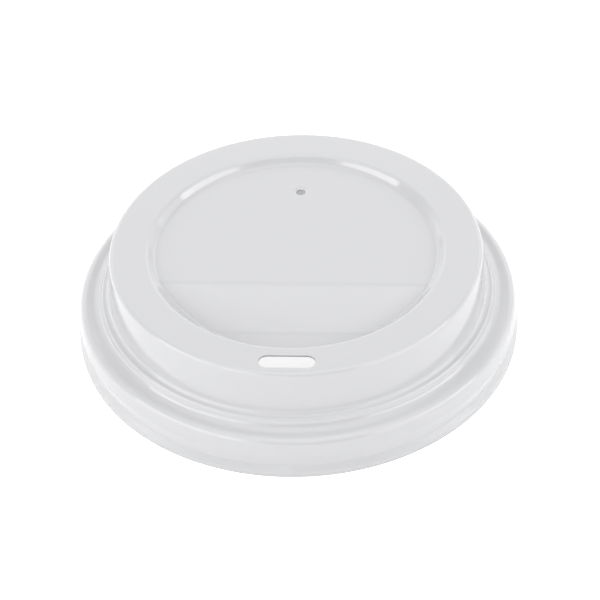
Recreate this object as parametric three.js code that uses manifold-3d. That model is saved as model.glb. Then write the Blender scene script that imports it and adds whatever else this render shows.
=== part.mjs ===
// A sip-through lid for a 90 mm class hot drink cup, thermoformed from one white plastic sheet.
// Units are millimetres, +Z is up, the lid stands on its lip at z = 0 and its axis is the Z axis.
// The sip slot is on the -Y side and the breather hole on the +Y side.
import * as THREE from 'three';
import { mergeVertices } from 'three/addons/utils/BufferGeometryUtils.js';
import Module from 'manifold-3d';

const wasm = await Module();
wasm.setup();

// sheet and overall size
const WALL = 0.45;             // sheet thickness after forming
const LIP_R = 46.5;            // outer radius of the lip
const HEIGHT = 20.6;           // lip underside to the top of the drinking rim

// dome wall and the raised drinking rim on top of it
const FOOT_INSET = 6.8;        // foot of the dome wall inside the lip radius
const FOOT_R = LIP_R - FOOT_INSET;
const FOOT_FILLET = 1.0;
const DOME_LEAN = 0.95;        // the wall leans in by this much up to the rim
const RIM_R = FOOT_R - DOME_LEAN;
const RIM_FILLET = 1.0;
const RIM_W = 7.85;            // flat drinking rim between the dome wall and the recess

// stacking shoulder at the foot of the dome wall, and the valley outside it
const SHOULDER_Z = 10.15;
const SHOULDER_W = 1.35;
const SHOULDER_FILLET = 0.45;
const VALLEY_DROP = 1.8;       // shoulder down to the valley
const VALLEY_RUN = 0.7;
const VALLEY_FILLET = 0.4;

// bead that goes over the rolled edge of the cup
const BEAD_TOP = 8.75;
const BEAD_FILLET = 1.1;
const BEAD_INSET = 0.7;        // bead side inside the lip radius

// skirt with its belly, the snap ring that catches under the cup's edge, and the flared lip
const BELLY_Z = 5.4;
const BELLY_INSET = 0.35;
const BELLY_FILLET = 0.6;
const SNAP_Z = 2.5;
const SNAP_INSET = 0.8;
const SNAP_FILLET = 0.5;
const LIP_H = 1.05;
const LIP_FILLET = 0.5;

// recess inside the rim: a cone wall, a flat floor, a slope towards the slot and a front pocket
const RECESS_R = RIM_R - RIM_W;
const RECESS_LEAN = 0.86;      // run of the cone wall for each unit of drop
const RECESS_FILLET = 1.0;
const FLOOR_DROP = 1.6;        // rim top to the flat floor
const POCKET_DROP = 6.0;       // rim top to the bottom of the front pocket
const FOLD_Y = -0.33 * RECESS_R;      // fold where the slope leaves the flat floor
const POCKET_Y = -0.6375 * RECESS_R;  // fold where the slope meets the pocket bottom

// openings
const SLOT_L = 11.4;
const SLOT_W = 3.6;
const SLOT_R = RIM_R - RIM_W / 2;
const VENT_D = 1.4;
const VENT_Y = 0.657 * RECESS_R;

const AROUND = 60;             // steps round the axis

// Corners of the outer skin from the axis to the foot of the lip, each as radius, height, fillet.
function outerCorners() {
  const floorZ = HEIGHT - POCKET_DROP;
  const shoulderR = FOOT_R + SHOULDER_W;
  return [
    [0, floorZ, 0],
    [RECESS_R - RECESS_LEAN * POCKET_DROP, floorZ, 0],
    [RECESS_R, HEIGHT, RECESS_FILLET],
    [RIM_R, HEIGHT, RIM_FILLET],
    [FOOT_R, SHOULDER_Z, FOOT_FILLET],
    [shoulderR, SHOULDER_Z, SHOULDER_FILLET],
    [shoulderR + VALLEY_RUN, SHOULDER_Z - VALLEY_DROP, VALLEY_FILLET],
    [LIP_R - BEAD_INSET, BEAD_TOP, BEAD_FILLET],
    [LIP_R - BELLY_INSET, BELLY_Z, BELLY_FILLET],
    [LIP_R - SNAP_INSET, SNAP_Z, SNAP_FILLET],
    [LIP_R, LIP_H, LIP_FILLET],
    [LIP_R, 0, 0],
  ];
}

// Unit direction from corner a to corner b.
function heading(a, b) {
  const run = Math.hypot(b[0] - a[0], b[1] - a[1]);
  return [(b[0] - a[0]) / run, (b[1] - a[1]) / run];
}

// The same corners moved inwards by one sheet thickness. A corner that turns towards the cavity
// loses the sheet thickness from its fillet and a corner that turns away gains it.
function innerCorners(corners) {
  const last = corners.length - 1;
  return corners.map((c, i) => {
    const before = heading(corners[Math.max(i - 1, 0)], corners[Math.max(i, 1)]);
    const after = heading(corners[Math.min(i, last - 1)], corners[Math.min(i + 1, last)]);
    const turn = before[0] * after[1] - before[1] * after[0];
    const share = WALL / (1 + before[0] * after[0] + before[1] * after[1]);
    const fillet = c[2] + (turn < 0 ? -WALL : WALL);
    return [
      c[0] + share * (before[1] + after[1]),
      c[1] - share * (before[0] + after[0]),
      c[2] === 0 ? 0 : Math.max(fillet, 0.04),
    ];
  });
}

// Points along a run of corners, with each fillet drawn as an arc tangent to both its sides.
function rounded(corners, stepDegrees) {
  const points = [];
  corners.forEach((c, i) => {
    if (c[2] === 0) {
      points.push([c[0], c[1]]);
      return;
    }
    const before = heading(corners[i - 1], c);
    const after = heading(c, corners[i + 1]);
    const turn = Math.atan2(
      before[0] * after[1] - before[1] * after[0],
      before[0] * after[0] + before[1] * after[1]);
    const side = Math.sign(turn);
    const reach = c[2] * Math.tan(Math.abs(turn) / 2);
    const centre = [
      c[0] - before[0] * reach - before[1] * c[2] * side,
      c[1] - before[1] * reach + before[0] * c[2] * side,
    ];
    const steps = Math.max(1, Math.round(Math.abs(turn) * 180 / Math.PI / stepDegrees));
    const start = Math.atan2(c[1] - before[1] * reach - centre[1], c[0] - before[0] * reach - centre[0]);
    for (let k = 0; k <= steps; k++) {
      const a = start + turn * k / steps;
      points.push([centre[0] + c[2] * Math.cos(a), centre[1] + c[2] * Math.sin(a)]);
    }
  });
  return points;
}

// Merge the shared vertices of a three.js shape and drop the empty faces that a lathe leaves on its
// axis, so that only a closed skin is left.
function merged(shape) {
  shape.deleteAttribute('normal');
  shape.deleteAttribute('uv');
  const geometry = mergeVertices(shape, 1e-3);
  const index = [];
  for (let i = 0; i < geometry.index.count; i += 3) {
    const [a, b, c] = [0, 1, 2].map((k) => geometry.index.getX(i + k));
    if (a !== b && b !== c && c !== a) index.push(a, b, c);
  }
  geometry.setIndex(index);
  return geometry;
}

function toManifold(shape) {
  const geometry = merged(shape);
  return new wasm.Manifold(new wasm.Mesh({
    numProp: 3,
    vertProperties: new Float32Array(geometry.attributes.position.array),
    triVerts: new Uint32Array(geometry.index.array),
  }));
}

function toGeometry(solid) {
  const mesh = solid.getMesh();
  const positions = [];
  for (let i = 0; i < mesh.vertProperties.length; i += mesh.numProp) {
    for (let k = 0; k < 3; k++) positions.push(mesh.vertProperties[i + k]);
  }
  const geometry = new THREE.BufferGeometry();
  geometry.setAttribute('position', new THREE.Float32BufferAttribute(positions, 3));
  geometry.setIndex(Array.from(mesh.triVerts));
  return merged(geometry);
}

// Turn a run of radius, height points round the Z axis.
function turned(points) {
  const profile = points.map(([r, z]) => new THREE.Vector2(r, z)).reverse();
  return toManifold(new THREE.LatheGeometry(profile, AROUND).rotateX(Math.PI / 2));
}

// A flat outline drawn from above and raised from one height to another.
function raised(shape, from, to, curveSegments) {
  const solid = new THREE.ExtrudeGeometry(shape, { depth: to - from, bevelEnabled: false, curveSegments });
  return toManifold(solid.translate(0, 0, from));
}

function disc(radius, y) {
  const shape = new THREE.Shape();
  shape.absarc(0, y, radius, 0, 2 * Math.PI, false);
  return shape;
}

// The mass under the recess floor: everything below the flat floor, the slope and the pocket
// bottom. sink moves all three surfaces down along their own normals.
function floorMass(sink) {
  const floorZ = HEIGHT - FLOOR_DROP;
  const pocketZ = HEIGHT - POCKET_DROP;
  const lean = Math.atan2(floorZ - pocketZ, FOLD_Y - POCKET_Y);
  const shift = sink * Math.tan(lean / 2);
  const side = new THREE.Shape([
    [-LIP_R, 0],
    [LIP_R, 0],
    [LIP_R, floorZ - sink],
    [FOLD_Y + shift, floorZ - sink],
    [POCKET_Y + shift, pocketZ - sink],
    [-LIP_R, pocketZ - sink],
  ].map(([y, z]) => new THREE.Vector2(y, z)));
  const across = new THREE.ExtrudeGeometry(side, { depth: 2 * LIP_R, bevelEnabled: false });
  across.translate(0, 0, -LIP_R);
  across.applyMatrix4(new THREE.Matrix4().makeBasis(
    new THREE.Vector3(0, 1, 0),
    new THREE.Vector3(0, 0, 1),
    new THREE.Vector3(1, 0, 0)));
  const round = raised(disc(SLOT_R, 0), SHOULDER_Z - VALLEY_DROP, HEIGHT, AROUND);
  return round.intersect(toManifold(across));
}

// One skin of the lid as a full solid: the turned profile plus the mass under the recess floor.
function skin(corners, foot, stepDegrees, sink) {
  const points = rounded(corners, stepDegrees);
  const last = points[points.length - 1];
  points[points.length - 1] = [last[0], foot];
  points.push([0, foot]);
  return turned(points).add(floorMass(sink));
}

// A straight slot with round ends, centred on the middle line of the drinking rim.
function sipSlot() {
  const half = (SLOT_L - SLOT_W) / 2;
  const shape = new THREE.Shape();
  shape.absarc(half, -SLOT_R, SLOT_W / 2, -Math.PI / 2, Math.PI / 2, false);
  shape.absarc(-half, -SLOT_R, SLOT_W / 2, Math.PI / 2, 3 * Math.PI / 2, false);
  return raised(shape, HEIGHT - 3 * WALL, HEIGHT + WALL, 12);
}

// The small round breather hole in the flat floor.
function breatherHole() {
  const floorZ = HEIGHT - FLOOR_DROP;
  return raised(disc(VENT_D / 2, VENT_Y), floorZ - 3 * WALL, floorZ + WALL, 20);
}

function lid() {
  const corners = outerCorners();
  const solid = skin(corners, 0, 22, 0)
    .subtract(skin(innerCorners(corners), -WALL, 30, WALL))
    .subtract(sipSlot())
    .subtract(breatherHole());
  const material = new THREE.MeshStandardMaterial({ color: 0xe4e5e9, roughness: 0.3, metalness: 0 });
  material.name = 'gloss_plastic';
  const mesh = new THREE.Mesh(toGeometry(solid), material);
  mesh.name = 'lid';
  return mesh;
}

const object = new THREE.Group();
object.name = 'cup_lid';
object.add(lid());

export default object;
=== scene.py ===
# %% [markdown]
# # A sip-through lid for a hot drink cup
# The real lid is one thin sheet of white plastic. It is warmed until it sags, sucked over a mould,
# and trimmed round the lip; then the sip slot and the breather hole are punched through it.
# So it is also one piece here: one even sheet, bent to the shape of the mould, with two holes cut.
# The CAD model gives the sizes and the frame. It is loaded first, and its box is kept for the end.

import math

import bpy
import numpy as np
from mathutils import Matrix, Vector


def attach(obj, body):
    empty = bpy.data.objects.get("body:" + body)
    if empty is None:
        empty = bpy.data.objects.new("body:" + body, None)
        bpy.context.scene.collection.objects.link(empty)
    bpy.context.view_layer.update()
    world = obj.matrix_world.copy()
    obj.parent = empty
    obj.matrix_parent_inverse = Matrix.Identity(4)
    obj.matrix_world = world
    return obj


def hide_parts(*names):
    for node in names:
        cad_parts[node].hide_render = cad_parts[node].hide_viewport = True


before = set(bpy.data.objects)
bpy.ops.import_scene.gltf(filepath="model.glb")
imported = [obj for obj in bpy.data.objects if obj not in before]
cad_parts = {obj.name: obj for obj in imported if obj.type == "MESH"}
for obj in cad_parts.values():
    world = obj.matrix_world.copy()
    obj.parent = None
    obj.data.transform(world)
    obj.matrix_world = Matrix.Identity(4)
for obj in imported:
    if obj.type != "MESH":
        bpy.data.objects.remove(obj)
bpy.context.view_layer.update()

# %% [markdown]
# ## The camera
# The photograph looks down at the lid at about 41 degrees from half a metre away, with a long lens,
# and the camera leans a little to one side. A long lens keeps the ellipses of the rim and of the
# lip nearly parallel, as they are in the photograph. A camera could be aimed at an empty with a
# constraint, but then it couldn't lean. So it is described by where it stands and by three angles,
# and its matrix is put together from the three axes that they give.

# %% Set the camera
YAW = math.radians(4.2)  # to the left of straight ahead
DIP = math.radians(41.386)  # down from level
ROLL = math.radians(-2.142)  # over to one side
CAMERA_PLACE = Vector((0.0281, -0.3761, 0.3382))
LENS = 142.54
FILM_WIDTH = 36
NEAREST_SEEN = 0.01

across = Vector((math.cos(YAW), math.sin(YAW), 0))
ahead = Vector((-math.cos(DIP) * math.sin(YAW), math.cos(DIP) * math.cos(YAW), -math.sin(DIP)))
upwards = across.cross(ahead)
right = math.cos(ROLL) * across + math.sin(ROLL) * upwards
top = math.cos(ROLL) * upwards - math.sin(ROLL) * across

camera_data = bpy.data.cameras.new("camera")
camera_data.lens = LENS
camera_data.sensor_width = FILM_WIDTH
camera_data.clip_start = NEAREST_SEEN
camera = bpy.data.objects.new("camera", camera_data)
bpy.context.collection.objects.link(camera)
aim = Matrix((right, top, -ahead)).transposed().to_4x4()
camera.matrix_world = Matrix.Translation(CAMERA_PLACE) @ aim
bpy.context.scene.camera = camera
print("camera looks", round(math.degrees(DIP), 1), "degrees down")

# %% [markdown]
# ## The outline of the mould
# Outside the recess the lid is a solid of revolution, so one outline carried round the axis gives
# all of it. Each corner of the outline is a radius, a height and the radius of its fillet, in
# millimetres. From the inside out they are the drinking rim, the dome wall, the stacking shoulder,
# the valley, the bead that grips the rolled edge of the cup, the skirt with its belly and snap
# ring, and the lip. The radii hang on the radius of the lip, as they do in the CAD model.

# %% List the corners
SHEET = 0.45
LIP_R = 46.5
HEIGHT = 20.6  # the lip stands at 0 and the drinking rim is this high

RIM_R = LIP_R - 7.75
RIM_W = 7.85
RIM_FILLET = 1.0
RECESS_R = RIM_R - RIM_W
RECESS_LEAN = 0.86  # the recess wall leans in by this much for each millimetre down
RECESS_FILLET = 1.0
RECESS_START = 1.0  # the outline takes over from the recess this far below the rim

FOOT_R = LIP_R - 6.8
FOOT_FILLET = 1.0
SHOULDER_R = FOOT_R + 1.35
SHOULDER_Z = 10.6
SHOULDER_FILLET = 0.55
VALLEY_R = SHOULDER_R + 0.7
VALLEY_Z = 8.35
VALLEY_FILLET = 1.8

BEAD_R = LIP_R - 0.9
BEAD_Z = 9.15
BEAD_FILLET = 1.5
BELLY_R = LIP_R - 0.35
BELLY_Z = 5.4
BELLY_FILLET = 0.6
SNAP_R = LIP_R - 0.8
SNAP_Z = 2.5
SNAP_FILLET = 0.5
LIP_Z = 1.05
LIP_FILLET = 0.5

corners = np.array([
    [RECESS_R - RECESS_START * RECESS_LEAN, HEIGHT - RECESS_START, 0],
    [RECESS_R, HEIGHT, RECESS_FILLET],
    [RIM_R, HEIGHT, RIM_FILLET],
    [FOOT_R, SHOULDER_Z, FOOT_FILLET],
    [SHOULDER_R, SHOULDER_Z, SHOULDER_FILLET],
    [VALLEY_R, VALLEY_Z, VALLEY_FILLET],
    [BEAD_R, BEAD_Z, BEAD_FILLET],
    [BELLY_R, BELLY_Z, BELLY_FILLET],
    [SNAP_R, SNAP_Z, SNAP_FILLET],
    [LIP_R, LIP_Z, LIP_FILLET],
    [LIP_R, 0, 0],
])
print(len(corners), "corners from the recess to the lip")

# %% [markdown]
# A thermoformed sheet has no sharp corners. A Bevel modifier could round them, but it would need a
# different width at each one. So each corner is replaced by an arc that touches both of its sides:
# the arc starts at fillet x tan(half the turn) before the corner, and its centre lies on the inner
# side of the bend.

# %% Round the corners
ARC_STEP = 6.0  # degrees from one point of an arc to the next


def fillet(before, corner, after, radius):
    """Points on the arc of the given radius that touches before-corner and corner-after."""
    inward = (corner - before) / np.hypot(*(corner - before))
    onward = (after - corner) / np.hypot(*(after - corner))
    turn = math.atan2(inward[0] * onward[1] - inward[1] * onward[0], inward @ onward)
    side = np.array([-inward[1], inward[0]]) * math.copysign(1, turn)
    start = corner - inward * radius * math.tan(abs(turn) / 2)
    centre = start + side * radius
    count = max(2, round(abs(math.degrees(turn)) / ARC_STEP)) + 1
    angle = np.linspace(0, abs(turn), count)[:, None]
    return centre - side * radius * np.cos(angle) + inward * radius * np.sin(angle)


def outline(rows):
    """The corners with each one rounded. The first only gives a direction, the last stays."""
    places, fillets = rows[:, :2], rows[:, 2]
    arcs = [fillet(*places[i - 1:i + 2], fillets[i]) for i in range(1, len(rows) - 1)]
    return np.vstack([*arcs, places[-1:]])


profile = outline(corners)
print(len(profile), "points on the outline, from radius", round(profile[0, 0], 2), "outwards")

# %% [markdown]
# ## The recess
# Inside the rim the shape is no longer round: a flat floor, a slope that leads to the slot and a
# pocket at the front, all inside a cone wall. It could be cut from the dome by a Boolean, but the
# folds of a formed sheet are soft. Each form is a plane or a cone, so the recess is a height above
# every point: the lower of floor and slope, the higher of that and the pocket, and the higher of
# that and the cone. A soft minimum or maximum rounds the fold where two of them meet.

# %% Work out the recess
FLOOR_Z = HEIGHT - 1.6
POCKET_Z = HEIGHT - 6.0
FOLD_Y = -0.33 * RECESS_R
POCKET_Y = -0.6375 * RECESS_R
SLOPE = (FLOOR_Z - POCKET_Z) / (FOLD_Y - POCKET_Y)
FOLD_SOFT = 0.36  # two forms blend where their heights differ by less than this
POCKET_SOFT = 0.3
CONE_SOFT = 0.5


def higher(a, b, soft):
    """The larger of a and b. Where they differ by less than soft, a parabola joins the two."""
    near = np.maximum(soft - np.abs(a - b), 0) / soft
    return np.maximum(a, b) + near**2 * soft / 4


def lower(a, b, soft):
    """The smaller of a and b, joined by the same parabola."""
    return -higher(-a, -b, soft)


def recess_height(x, y):
    """Height of the recess: the lower of slope and floor, raised to the pocket and the cone."""
    slope = FLOOR_Z + SLOPE * (y - FOLD_Y)
    floor = lower(slope, FLOOR_Z, FOLD_SOFT)
    floor = higher(floor, POCKET_Z, POCKET_SOFT)
    cone = HEIGHT - (RECESS_R - np.hypot(x, y)) / RECESS_LEAN
    return higher(floor, cone, CONE_SOFT)


print("slope of the recess", round(math.degrees(math.atan(SLOPE)), 1), "degrees")

# %% [markdown]
# ## One grid for the outer skin
# The skin is a function of two parameters, the angle round the axis and the step outwards. In the
# recess the steps aren't even: a few are drawn together where a fold or the foot of the cone
# crosses that angle, because only there does the surface bend. An even grid that is fine enough
# for the folds would have many times the points. Sorting each row keeps the steps in order,
# whichever fold comes first.

# %% Find the folds
BAND_STEPS = 9
BAND_REACH = 1.15  # a band reaches a little past the blend on both sides
WIDEST_BAND = 3
JUST_AHEAD = -1e-3  # keeps the division safe behind the axis, where no fold is met


def fold_bands(angle):
    """Radii at which each row needs close steps, from where the planes and the cone cross there.

    A fold at a fixed y lies at the radius y / sin(angle). The cone meets a flat form at a fixed
    radius, and it meets the slope where the two are level. That radius is the height of the slope
    above the cone at the axis, over the difference of their steepness.
    """
    slant = np.minimum(np.sin(angle), JUST_AHEAD)
    fold = np.minimum(FOLD_Y / slant, RECESS_R)
    pocket = np.minimum(POCKET_Y / slant, RECESS_R)
    on_flat = RECESS_R - RECESS_LEAN * (HEIGHT - FLOOR_Z)
    on_pocket = RECESS_R - RECESS_LEAN * (HEIGHT - POCKET_Z)
    above_cone = FLOOR_Z - SLOPE * FOLD_Y - HEIGHT + RECESS_R / RECESS_LEAN
    on_slope = above_cone / (1 / RECESS_LEAN - SLOPE * np.sin(angle))
    foot = np.minimum(on_flat, np.maximum(on_slope, on_pocket))
    spread = np.linspace(-BAND_REACH, BAND_REACH, BAND_STEPS)[None, :]
    wide = np.minimum((FOLD_SOFT / SLOPE / -slant)[:, None], WIDEST_BAND)
    return np.hstack([
        fold[:, None] + spread * wide,
        pocket[:, None] + spread * wide,
        foot[:, None] + CONE_SOFT * spread,
    ])


print(3 * BAND_STEPS, "close steps in each row")

# %% [markdown]
# Two steps may fall on the same place where two bands cross. A running minimum, taken from the
# outside in, then pushes the inner one back, so that no face of the grid has a side of no length.

# %% Place the grid
AROUND = 300
EVEN_STEPS = 24
POLE_GAP = 0.6  # no step is nearer to the axis
EDGE_GAP = 0.4  # the even steps end this far before the outline takes over
STEP_GAP = 0.02  # least distance from one step to the next


def outer_skin(around):
    """Points of the outer skin: rows round the axis, columns from the pole out to the lip.

    A point lies at radius x cos(angle), radius x sin(angle). Its height comes from the recess
    inside the first radius of the outline, and from the outline beyond it.
    """
    angle = np.arange(around) * 2 * np.pi / around
    edge = profile[0, 0]
    even = np.linspace(2 * POLE_GAP, edge - EDGE_GAP, EVEN_STEPS)
    steps = np.hstack([np.tile(even, (around, 1)), fold_bands(angle)])
    steps = np.sort(np.clip(steps, POLE_GAP, edge - STEP_GAP), axis=1)
    gap = STEP_GAP * np.arange(steps.shape[1])
    steps = np.minimum.accumulate((steps - gap)[:, ::-1], axis=1)[:, ::-1] + gap
    inner_x = steps * np.cos(angle)[:, None]
    inner_y = steps * np.sin(angle)[:, None]
    inner = np.stack([inner_x, inner_y, recess_height(inner_x, inner_y)], axis=-1)
    outer = np.stack([
        np.cos(angle)[:, None] * profile[:, 0],
        np.sin(angle)[:, None] * profile[:, 0],
        np.broadcast_to(profile[:, 1], (around, len(profile))),
    ], axis=-1)
    return np.concatenate([inner, outer], axis=1)


skin = outer_skin(AROUND)
print("grid of the skin:", skin.shape[:2], "and", round(skin[..., 2].max(), 2), "mm high")

# %% [markdown]
# The grid becomes a mesh: a four-sided face between each pair of rows, joined round the axis, and a
# fan of triangles at the pole. The faces wind so that they point outwards. Blender works in metres,
# so the millimetres are turned into metres here, once for every mesh.

# %% Turn a grid into a mesh
MM = 0.001


def ring_faces(around, along, first=0):
    """Four-sided faces of a closed ring of rows, each with the given number of points along it."""
    row = np.arange(around)[:, None] * along
    following = np.roll(np.arange(around), -1)[:, None] * along
    step = np.arange(along - 1)[None, :]
    sides = [row + step, row + step + 1, following + step + 1, following + step]
    return np.stack(sides, -1).reshape(-1, 4) + first


def mesh_from(name, points, face_groups):
    """A smooth mesh with the given points, in millimetres, and groups of faces."""
    mesh = bpy.data.meshes.new(name)
    faces = [face for group in face_groups for face in group.tolist()]
    mesh.from_pydata((points * MM).tolist(), [], faces)
    mesh.validate()
    mesh.shade_smooth()
    return mesh


def piece_from(mesh):
    """An object at the origin that shows the mesh."""
    piece = bpy.data.objects.new(mesh.name, mesh)
    bpy.context.collection.objects.link(piece)
    return piece


row_count, row_length = skin.shape[:2]
pole = np.array([[0, 0, recess_height(0.0, 0.0)]])
innermost = 1 + np.arange(row_count) * row_length
fan = np.stack([np.zeros_like(innermost), innermost, np.roll(innermost, -1)], -1)
skin_points = np.vstack([pole, skin.reshape(-1, 3)])
shell_mesh = mesh_from("lid_shell", skin_points, [fan, ring_faces(row_count, row_length, 1)])
shell = piece_from(shell_mesh)
print(len(shell_mesh.vertices), "points,", len(shell_mesh.polygons), "faces in the outer skin")

# %% [markdown]
# ## The sheet
# A second grid could make the inner skin, but its corners would have to be rounded afresh.
# Solidify gives the skin its thickness inwards, so that the outer skin stays as it was worked out.
# The real sheet is drawn a little thinner down the walls, which doesn't show from outside.

# %% Give the sheet its thickness
sheet = shell.modifiers.new("sheet", "SOLIDIFY")
sheet.thickness = SHEET * MM
sheet.offset = -1
sheet.use_even_offset = True
print("sheet", SHEET, "mm")

# %% [markdown]
# ## The punched holes
# The slot is punched through the middle of the rim, and a hot pin makes the breather hole in the
# floor, which leaves a small crater with a soft edge. The holes could be left out of the grid, but
# then its rows would have to bend round them. So each hole is cut by a plug: a closed tube whose
# outline grows towards the top surface along a quarter of an oval, so that the edge it leaves is
# rounded.

# %% Shape a plug
PLUG_REACH = 2  # how far a plug goes down below the surface
PLUG_DRAFT = 0.12  # how much wider it is down there
FLARE_END = 80  # degrees of the quarter oval that are drawn before it runs straight on
FLARE_STEPS = 9
RUN_ON = 3  # the straight end is this many steps long


def stadium(length, width, count):
    """Outline of a slot with round ends, as middle points and outward directions round it."""
    turn = np.arange(count) * 2 * np.pi / count
    away = np.stack([np.cos(turn), np.sin(turn)], -1)
    middle = np.stack([np.sign(away[:, 0]) * (length - width) / 2, np.zeros(count)], -1)
    return middle, away


def edge_levels(surface, half, flare, drop):
    """Levels of a plug from below the sheet up, with a quarter oval that opens at the surface."""
    angle = np.radians(np.linspace(0, FLARE_END, FLARE_STEPS))
    arc = np.stack([surface - drop + drop * np.sin(angle), half + flare * (1 - np.cos(angle))], -1)
    last = arc[-1] + RUN_ON * (arc[-1] - arc[-2])
    foot = [surface - PLUG_REACH, half + PLUG_DRAFT]
    return np.vstack([foot, [surface - SHEET, half], arc, last])


def plug(name, middle, away, place, levels):
    """A closed tube: at each level, a height and an offset, the outline stands off its middle."""
    height, offset = np.array(levels).T
    flat = middle[:, None, :] + away[:, None, :] * offset[None, :, None]
    count, along = flat.shape[:2]
    heights = np.broadcast_to(height[None, :, None], (count, along, 1))
    points = (np.concatenate([flat, heights], -1) + np.array([0, place, 0])).reshape(-1, 3)
    bottom = np.arange(count) * along
    ends = [bottom[None, ::-1], (bottom + along - 1)[None, :]]
    return piece_from(mesh_from(name, points, [ring_faces(count, along)[:, ::-1], *ends]))


print("a plug has", 3 + FLARE_STEPS, "levels")

# %% [markdown]
# The slot has straight sides and round ends. The breather hole is a slot of no length. Its crater
# is wide and shallow, because the pin that melted it pushed the edge down.

# %% Make the two plugs
SLOT_L = 11.4
SLOT_W = 3.6
SLOT_R = RIM_R - RIM_W / 2
SLOT_TIGHT = 0.05  # the plug is this much narrower on each side before it flares
SLOT_FLARE = 0.3
SLOT_DROP = 0.2
SLOT_POINTS = 96
VENT_R = 0.9
VENT_Y = 0.657 * RECESS_R
VENT_FLARE = 0.6
VENT_DROP = 0.36
VENT_POINTS = 40

slot_levels = edge_levels(HEIGHT, SLOT_W / 2 - SLOT_TIGHT, SLOT_FLARE, SLOT_DROP)
slot_plug = plug("slot_plug", *stadium(SLOT_L, SLOT_W, SLOT_POINTS), -SLOT_R, slot_levels)
vent_levels = edge_levels(FLOOR_Z, VENT_R, VENT_FLARE, VENT_DROP)
vent_plug = plug("vent_plug", *stadium(0, 0, VENT_POINTS), VENT_Y, vent_levels)
print("slot plug and vent plug made")

# %% [markdown]
# The cuts are made by Boolean modifiers, and the result is kept as a plain mesh. A Weighted Normal
# modifier then lets the large flat faces decide the shading, so that the flats stay flat right up
# to the fillets.

# %% Cut the holes
for cutter in (slot_plug, vent_plug):
    cut = shell.modifiers.new(cutter.name, "BOOLEAN")
    cut.operation = "DIFFERENCE"
    cut.solver = "EXACT"
    cut.object = cutter
weighted = shell.modifiers.new("weighted", "WEIGHTED_NORMAL")
weighted.keep_sharp = True

bpy.context.view_layer.update()
evaluated = shell.evaluated_get(bpy.context.evaluated_depsgraph_get())
finished = bpy.data.meshes.new_from_object(evaluated)
shell.modifiers.clear()
shell.data = finished
finished.name = "lid_shell"
for cutter in (slot_plug, vent_plug):
    bpy.data.objects.remove(cutter)
bpy.data.meshes.remove(shell_mesh)
triangles = sum(len(face.vertices) - 2 for face in finished.polygons)
print("lid:", triangles, "triangles")

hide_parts("lid")
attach(shell, "root")

# %% [markdown]
# ## Writing shaders as sums
# A shader is a graph of nodes, but its arithmetic reads better as Python. A Wire holds one socket,
# and adding, subtracting or multiplying Wires adds the Math nodes. Every other node comes from one
# method of the Finish, which takes the node's type, its settings and what goes into its sockets.

# %% The Wire and the Finish


class Wire:
    """One output socket that can be used in sums."""

    def __init__(self, socket):
        self.socket = socket

    def math(self, operation, first, second):
        """The Wire of a Math node that takes the two values."""
        tree = self.socket.id_data
        node = tree.nodes.new("ShaderNodeMath")
        node.operation = operation
        for slot, value in zip(node.inputs, (first, second)):
            connect(tree, slot, value)
        return Wire(node.outputs[0])

    def __add__(self, other):
        return self.math("ADD", self, other)

    def __radd__(self, other):
        return self.math("ADD", other, self)

    def __sub__(self, other):
        return self.math("SUBTRACT", self, other)

    def __rsub__(self, other):
        return self.math("SUBTRACT", other, self)

    def __mul__(self, other):
        return self.math("MULTIPLY", self, other)

    def __rmul__(self, other):
        return self.math("MULTIPLY", other, self)


def connect(tree, slot, value):
    """Link a Wire to a socket, or write a plain value into it."""
    if isinstance(value, Wire):
        tree.links.new(value.socket, slot)
    else:
        slot.default_value = value


class Finish:
    """The node tree of one material, or of the world."""

    def __init__(self, owner):
        owner.use_nodes = True
        self.tree = owner.node_tree
        self.tree.nodes.clear()

    def node(self, kind, settings=None, sockets=None, out=0):
        """Add a node, set it up, fill its sockets, and return the Wire of one of its outputs."""
        node = self.tree.nodes.new(kind)
        for key, value in (settings or {}).items():
            if key == "stops":
                ramp = node.color_ramp
                while len(ramp.elements) < len(value):
                    ramp.elements.new(0.5)
                for element, (position, colour) in zip(ramp.elements, value):
                    element.position = position
                    element.color = colour
            else:
                setattr(node, key, value)
        for key, value in (sockets or {}).items():
            connect(self.tree, node.inputs[key], value)
        return Wire(node.outputs[out])

    def output(self, kind, wire):
        """Feed the wire into the output node of the tree."""
        node = self.tree.nodes.new(kind)
        self.tree.links.new(wire.socket, node.inputs[0])


print("shader helpers ready")

# %% [markdown]
# Three things are needed by more than one finish. Noise is laid out in Object coordinates, which
# are metres here, so its scale is about the number of blobs in a metre. A Mix node has sockets of
# the same name for numbers, vectors and colours, and the ones for colours are known by number.

# %% Noise, greys and blends
MIX_SHARE, MIX_FIRST, MIX_SECOND, MIX_RESULT = 0, 6, 7, 2


def noise(finish, where, scale, detail, roughness=0.5):
    """Soft blobs of the given scale, with finer ones added to them."""
    return finish.node("ShaderNodeTexNoise", {}, {
        "Vector": where,
        "Scale": scale,
        "Detail": detail,
        "Roughness": roughness,
    })


def grey(level):
    """An even colour of the given brightness."""
    return level, level, level, 1


def blend(finish, share, first, second):
    """The second colour by the given share, and the first by the rest."""
    sockets = {MIX_SHARE: share, MIX_FIRST: first, MIX_SECOND: second}
    return finish.node("ShaderNodeMix", {"data_type": "RGBA"}, sockets, out=MIX_RESULT)


print("noise, grey and blend ready")

# %% [markdown]
# ## The white plastic
# The plastic is glossy polystyrene, white right through. One even colour and gloss would do from
# afar, but the real lid is never quite even: the sheet has a faint mottle where it was stretched,
# its surface repeats the fine grain of the mould, and slow waves in the surface bend the
# reflections of the lamps a little. A coat gives it the sharp second gloss of polystyrene.

# %% Make the plastic
PLASTIC_DARKER = (0.712, 0.714, 0.728, 1)
PLASTIC_LIGHTER = (0.728, 0.730, 0.744, 1)
GRAIN_SHARE = 0.06  # height of the grain against the waves

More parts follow.
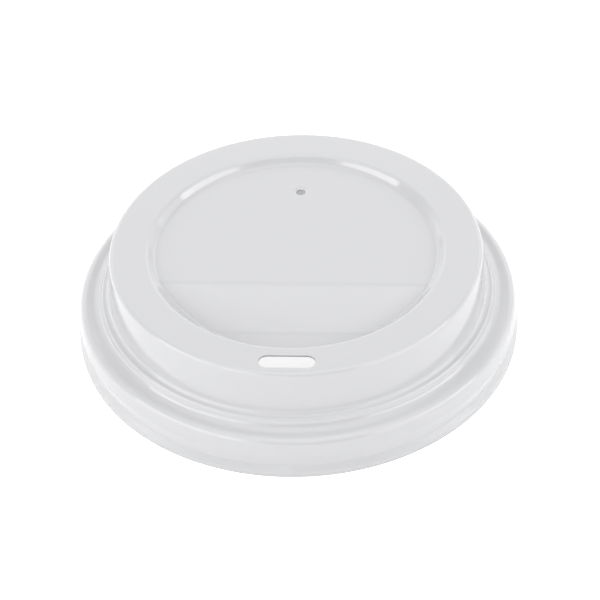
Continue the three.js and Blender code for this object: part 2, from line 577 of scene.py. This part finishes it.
plastic = bpy.data.materials.new("gloss_plastic")
plastic_finish = Finish(plastic)
on_lid = plastic_finish.node("ShaderNodeTexCoord", out="Object")
waves = noise(plastic_finish, on_lid, scale=70.0, detail=2.0, roughness=0.4)
grain = noise(plastic_finish, on_lid, scale=2600.0, detail=3.0, roughness=0.6)
mottle = noise(plastic_finish, on_lid, scale=45.0, detail=5.0, roughness=0.6)
tint = blend(plastic_finish, mottle, PLASTIC_DARKER, PLASTIC_LIGHTER)
relief = plastic_finish.node("ShaderNodeBump", {}, {
    "Strength": 0.25,
    "Distance": 0.0002,
    "Height": waves + GRAIN_SHARE * grain,
})
body = plastic_finish.node("ShaderNodeBsdfPrincipled", {}, {
    "Base Color": tint,
    "Roughness": 0.10 + 0.08 * mottle,
    "IOR": 1.59,
    "Coat Weight": 1.0,
    "Coat Roughness": 0.06,
    "Coat IOR": 1.6,
    "Normal": relief,
})
plastic_finish.output("ShaderNodeOutputMaterial", body)
finished.materials.clear()
finished.materials.append(plastic)
print("plastic:", len(plastic_finish.tree.nodes), "nodes")

# %% [markdown]
# ## The table
# The lid stands on a white table that runs out of the picture on every side. More light could
# bring the table up to the white paper of the photograph, but that would burn out the lid, so the
# table also glows: for the camera, and about half as strongly in reflections. The table takes the
# lid's shadow like any white surface, but with the glow added the shadow is past white and doesn't
# show; a weaker glow would bring it back. Under the far side of the lid the glow is halved, a
# painted shadow of the lid on the table, so that the breather hole looks darker than the slot, as
# it does in the photograph.

# %% Lay the table
TABLE_REACH = 4000
TABLE_Z = -0.03  # a hair below the lip, so that their faces don't share a plane
PAPER = 0.88
GLOW_SEEN = 0.87
GLOW_REFLECTED = 0.45
# the glow is halved in the painted shadow under the far side of the lid
GLOW_IN_PAINTED_SHADOW = 0.5

table_edge = TABLE_REACH * np.array([[-1, -1], [1, -1], [1, 1], [-1, 1]])
table_points = np.column_stack([table_edge, np.full(4, TABLE_Z)])
table_mesh = mesh_from("table", table_points, [np.array([[0, 1, 2, 3]])])
table = piece_from(table_mesh)

paper = bpy.data.materials.new("white_paper")
paper_finish = Finish(paper)
camera_ray, glossy_ray = [paper_finish.node("ShaderNodeLightPath", out=kind)
                          for kind in ("Is Camera Ray", "Is Glossy Ray")]
on_table = paper_finish.node("ShaderNodeTexCoord", out="Object")
fibre = noise(paper_finish, on_table, scale=300.0, detail=3.0)
diffuse = paper_finish.node("ShaderNodeBsdfDiffuse", {}, {
    "Color": grey(PAPER),
    "Roughness": 0.9 + 0.05 * fibre,
})
table_x, table_y = [paper_finish.node("ShaderNodeSeparateXYZ", {}, {0: on_table}, out=axis)
                    for axis in "XY"]
squared = table_x * table_x + table_y * table_y
from_axis = paper_finish.node("ShaderNodeMath", {"operation": "SQRT"}, {0: squared})
# painted shadow: under the far side of the lid, where its shadow falls, the table's glow is halved
inside = paper_finish.node("ShaderNodeMath", {"operation": "LESS_THAN"},
                           {0: from_axis, 1: LIP_R * MM})
far_side = paper_finish.node("ShaderNodeMath", {"operation": "GREATER_THAN"},
                             {0: table_y, 1: VENT_Y * MM})
painted_lid_shadow = blend(paper_finish, inside * far_side, grey(1), grey(GLOW_IN_PAINTED_SHADOW))
glow = paper_finish.node("ShaderNodeEmission", {}, {
    "Color": painted_lid_shadow,
    "Strength": camera_ray * GLOW_SEEN + glossy_ray * GLOW_REFLECTED,
})
both = paper_finish.node("ShaderNodeAddShader", {}, {0: diffuse, 1: glow})
paper_finish.output("ShaderNodeOutputMaterial", both)
table_mesh.materials.append(paper)
print("table laid,", 2 * TABLE_REACH * MM, "metres wide")

# %% [markdown]
# ## The room
# A glossy white lid mostly shows what stands round it, so the room matters as much as the lamps.
# A photographed room could light it, but a few plain bands are easier to steer. At the front and at
# the sides the room glows brightest at the height of the table and again overhead, and the back is
# bright half way up. Half way up on the camera's side it is nearly dark, which draws the dark bands
# at the foot of the dome and in the valley. The light is given at five heights for the front, the
# sides and the back. The camera sees plain white instead.

# %% Light the room
GLOW = 4.0  # a ramp holds colours up to 1, so its levels are divided by this strength
RAMP_HEIGHTS = (0, 0.25, 0.5, 0.75, 1)
TURN_STARTS = 0.25
TURN_ENDS = 0.9
OVERHEAD = 1e-6  # keeps the division safe straight up

world = bpy.data.worlds.new("room")
bpy.context.scene.world = world
room = Finish(world)
direction = room.node("ShaderNodeTexCoord", out="Generated")
side_x, side_y, rise = [room.node("ShaderNodeSeparateXYZ", {}, {0: direction}, out=axis)
                        for axis in "XYZ"]
level_squared = side_x * side_x + side_y * side_y + OVERHEAD
reach = room.node("ShaderNodeMath", {"operation": "SQRT"}, {0: level_squared})
backness = room.node("ShaderNodeMath", {"operation": "DIVIDE"}, {0: side_y, 1: reach})


def wall_of_light(levels):
    """A ramp over the height of the direction, from the horizon at 0 to the zenith at 1."""
    stops = [(height, grey(level / GLOW)) for height, level in zip(RAMP_HEIGHTS, levels)]
    return room.node("ShaderNodeValToRGB", {"stops": stops}, {"Fac": rise})


def turned_to(value):
    """1 where the direction points along value, falling softly to 0 towards the sides."""
    return room.node("ShaderNodeMapRange", {"interpolation_type": "SMOOTHSTEP"},
                     {"Value": value, "From Min": TURN_STARTS, "From Max": TURN_ENDS})


front = wall_of_light((1.2, 0.50, 0.05, 0.66, 1.15))
sides = wall_of_light((1.9, 0.58, 0.56, 0.70, 1.15))
back = wall_of_light((0.86, 1.0, 1.1, 0.34, 1.15))
sides_and_back = blend(room, turned_to(backness), sides, back)
sky = blend(room, turned_to(0 - backness), sides_and_back, front)
seen = room.node("ShaderNodeLightPath", out="Is Camera Ray")
lit = room.node("ShaderNodeBackground", {}, {"Color": sky, "Strength": GLOW})
white = room.node("ShaderNodeBackground", {}, {"Color": grey(1), "Strength": 1.0})
mixed = room.node("ShaderNodeMixShader", {}, {0: seen, 1: lit, 2: white})
room.output("ShaderNodeOutputWorld", mixed)
print("room lit")

# %% [markdown]
# ## The soft boxes
# The room alone would leave the lid flat. Soft boxes draw the long highlights that run along its
# round edges. One stands well to either side of the camera. A low thin strip on the left and a low
# box on the right light the skirt, and a wide weak box behind fills in the far side. Spot lamps
# would do the same with hard edges, which the photograph doesn't show.

# %% Hang the soft boxes


def soft_box(name, azimuth, elevation, distance, width, height, radiance):
    """A rectangular lamp that faces the lid; its power is pi x area x radiance."""
    lamp = bpy.data.lights.new(name, "AREA")
    lamp.shape = "RECTANGLE"
    lamp.size = width
    lamp.size_y = height
    lamp.energy = math.pi * width * height * radiance
    box = bpy.data.objects.new(name, lamp)
    bpy.context.collection.objects.link(box)
    a, e = math.radians(azimuth), math.radians(elevation)
    level = math.cos(e)
    box.location = distance * Vector((math.cos(a) * level, math.sin(a) * level, math.sin(e)))
    box.rotation_euler = box.location.to_track_quat("Z", "Y").to_euler()
    return box


soft_boxes = [
    soft_box("left_box", azimuth=-142, elevation=33, distance=1.0,
             width=1.0, height=0.35, radiance=2.05),
    soft_box("left_strip", azimuth=-132, elevation=17, distance=1.0,
             width=1.6, height=0.06, radiance=3.0),
    soft_box("right_box", azimuth=-22, elevation=33, distance=1.0,
             width=1.0, height=0.35, radiance=1.8),
    soft_box("right_box_low", azimuth=12, elevation=22, distance=1.0,
             width=0.8, height=0.3, radiance=0.6),
    soft_box("back_box", azimuth=90, elevation=35, distance=1.2,
             width=1.6, height=0.9, radiance=0.2),
]
bpy.context.scene.view_settings.view_transform = "Standard"
print(len(soft_boxes), "soft boxes hung")
